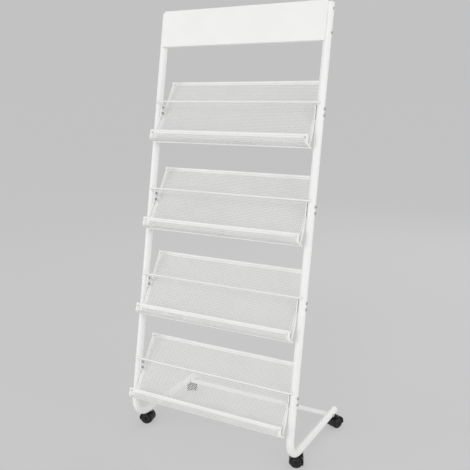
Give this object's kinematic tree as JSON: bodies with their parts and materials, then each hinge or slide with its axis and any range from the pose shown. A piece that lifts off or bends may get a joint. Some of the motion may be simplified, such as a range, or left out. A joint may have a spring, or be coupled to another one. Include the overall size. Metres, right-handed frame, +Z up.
{
  "type": "periodical display rack",
  "caption": "Mobile magazine rack: bent tube sides on twin-wheel castors, sloping mesh trays with retaining wires and a blank header panel.",
  "frame": {"origin": "on the floor, at the middle of the rack's footprint with the castors as stored", "axes": "+Z up; the trays and header face -Y; +X to the right of someone facing the rack"},
  "size_m": [0.6765, 0.4503, 1.4614],
  "materials": {
    "white_powder_coat": "white powder coat, low gloss",
    "zinc_steel": "bright zinc plate",
    "black_plastic": "moulded black nylon",
    "white_plastic": "moulded white polyethylene"
  },
  "bodies": {
    "rack": {"left_side_tube": "white_powder_coat", "left_top_cap": "white_plastic", "left_foot_cap": "white_plastic", "left_header_bracket": "white_powder_coat", "right_side_tube": "white_powder_coat", "right_top_cap": "white_plastic", "right_foot_cap": "white_plastic", "right_header_bracket": "white_powder_coat", "rear_cross_bar": "white_powder_coat", "header_panel": "white_powder_coat", "rear_cross_bar_bolts": "zinc_steel", "header_screws": "zinc_steel", "tray_1_rim": "white_powder_coat", "tray_1_mesh": "white_powder_coat", "tray_1_left_bracket": "white_powder_coat", "tray_1_right_bracket": "white_powder_coat", "tray_1_wire": "white_powder_coat", "tray_1_screws": "zinc_steel", "tray_2_rim": "white_powder_coat", "tray_2_mesh": "white_powder_coat", "tray_2_left_bracket": "white_powder_coat", "tray_2_right_bracket": "white_powder_coat", "tray_2_wire": "white_powder_coat", "tray_2_screws": "zinc_steel", "tray_3_rim": "white_powder_coat", "tray_3_mesh": "white_powder_coat", "tray_3_left_bracket": "white_powder_coat", "tray_3_right_bracket": "white_powder_coat", "tray_3_wire": "white_powder_coat", "tray_3_screws": "zinc_steel", "tray_4_rim": "white_powder_coat", "tray_4_mesh": "white_powder_coat", "tray_4_left_bracket": "white_powder_coat", "tray_4_right_bracket": "white_powder_coat", "tray_4_wire": "white_powder_coat", "tray_4_screws": "zinc_steel", "castor_sockets": "white_plastic", "front_left_castor_stem": "zinc_steel", "front_right_castor_stem": "zinc_steel", "rear_left_castor_stem": "zinc_steel", "rear_right_castor_stem": "zinc_steel"},
    "front_left_castor": {"front_left_castor_hood": "black_plastic", "front_left_castor_axle": "zinc_steel"},
    "front_left_castor_left_wheel": {"front_left_castor_left_wheel": "black_plastic"},
    "front_left_castor_right_wheel": {"front_left_castor_right_wheel": "black_plastic"},
    "front_left_castor_brake_pedal": {"front_left_castor_brake_pedal": "black_plastic"},
    "front_right_castor": {"front_right_castor_hood": "black_plastic", "front_right_castor_axle": "zinc_steel"},
    "front_right_castor_left_wheel": {"front_right_castor_left_wheel": "black_plastic"},
    "front_right_castor_right_wheel": {"front_right_castor_right_wheel": "black_plastic"},
    "front_right_castor_brake_pedal": {"front_right_castor_brake_pedal": "black_plastic"},
    "rear_left_castor": {"rear_left_castor_hood": "black_plastic", "rear_left_castor_axle": "zinc_steel"},
    "rear_left_castor_left_wheel": {"rear_left_castor_left_wheel": "black_plastic"},
    "rear_left_castor_right_wheel": {"rear_left_castor_right_wheel": "black_plastic"},
    "rear_right_castor": {"rear_right_castor_hood": "black_plastic", "rear_right_castor_axle": "zinc_steel"},
    "rear_right_castor_left_wheel": {"rear_right_castor_left_wheel": "black_plastic"},
    "rear_right_castor_right_wheel": {"rear_right_castor_right_wheel": "black_plastic"}
  },
  "joints": [
    {"name": "front_left_castor_swivel", "type": "hinge", "parent": "rack", "child": "front_left_castor", "pos_m": [-0.3015, -0.0935, 0.045], "axis": [0, 0, 1], "continuous": true},
    {"name": "front_left_castor_left_wheel_roll", "type": "hinge", "parent": "front_left_castor", "child": "front_left_castor_left_wheel", "pos_m": [-0.31514, -0.09665, 0.0215], "axis": [-0.225, 0.9744, 0], "continuous": true},
    {"name": "front_left_castor_right_wheel_roll", "type": "hinge", "parent": "front_left_castor", "child": "front_left_castor_right_wheel", "pos_m": [-0.31514, -0.09665, 0.0215], "axis": [-0.225, 0.9744, 0], "continuous": true},
    {"name": "front_left_castor_brake", "type": "hinge", "parent": "front_left_castor", "child": "front_left_castor_brake_pedal", "pos_m": [-0.32683, -0.09935, 0.0449], "axis": [-0.225, 0.9744, 0], "range_deg": [-15, 0]},
    {"name": "front_right_castor_swivel", "type": "hinge", "parent": "rack", "child": "front_right_castor", "pos_m": [0.3015, -0.0935, 0.045], "axis": [0, 0, 1], "continuous": true},
    {"name": "front_right_castor_left_wheel_roll", "type": "hinge", "parent": "front_right_castor", "child": "front_right_castor_left_wheel", "pos_m": [0.28871, -0.09919, 0.0215], "axis": [-0.4067, 0.9135, 0], "continuous": true},
    {"name": "front_right_castor_right_wheel_roll", "type": "hinge", "parent": "front_right_castor", "child": "front_right_castor_right_wheel", "pos_m": [0.28871, -0.09919, 0.0215], "axis": [-0.4067, 0.9135, 0], "continuous": true},
    {"name": "front_right_castor_brake", "type": "hinge", "parent": "front_right_castor", "child": "front_right_castor_brake_pedal", "pos_m": [0.27775, -0.10408, 0.0449], "axis": [-0.4067, 0.9135, 0], "range_deg": [-15, 0]},
    {"name": "rear_left_castor_swivel", "type": "hinge", "parent": "rack", "child": "rear_left_castor", "pos_m": [-0.3015, 0.1825, 0.045], "axis": [0, 0, 1], "continuous": true},
    {"name": "rear_left_castor_left_wheel_roll", "type": "hinge", "parent": "rear_left_castor", "child": "rear_left_castor_left_wheel", "pos_m": [-0.3085, 0.19462, 0.0215], "axis": [0.866, 0.5, 0], "continuous": true},
    {"name": "rear_left_castor_right_wheel_roll", "type": "hinge", "parent": "rear_left_castor", "child": "rear_left_castor_right_wheel", "pos_m": [-0.3085, 0.19462, 0.0215], "axis": [0.866, 0.5, 0], "continuous": true},
    {"name": "rear_right_castor_swivel", "type": "hinge", "parent": "rack", "child": "rear_right_castor", "pos_m": [0.3015, 0.1825, 0.045], "axis": [0, 0, 1], "continuous": true},
    {"name": "rear_right_castor_left_wheel_roll", "type": "hinge", "parent": "rear_right_castor", "child": "rear_right_castor_left_wheel", "pos_m": [0.30674, 0.19548, 0.0215], "axis": [0.9272, -0.3746, 0], "continuous": true},
    {"name": "rear_right_castor_right_wheel_roll", "type": "hinge", "parent": "rear_right_castor", "child": "rear_right_castor_right_wheel", "pos_m": [0.30674, 0.19548, 0.0215], "axis": [0.9272, -0.3746, 0], "continuous": true}
  ]
}
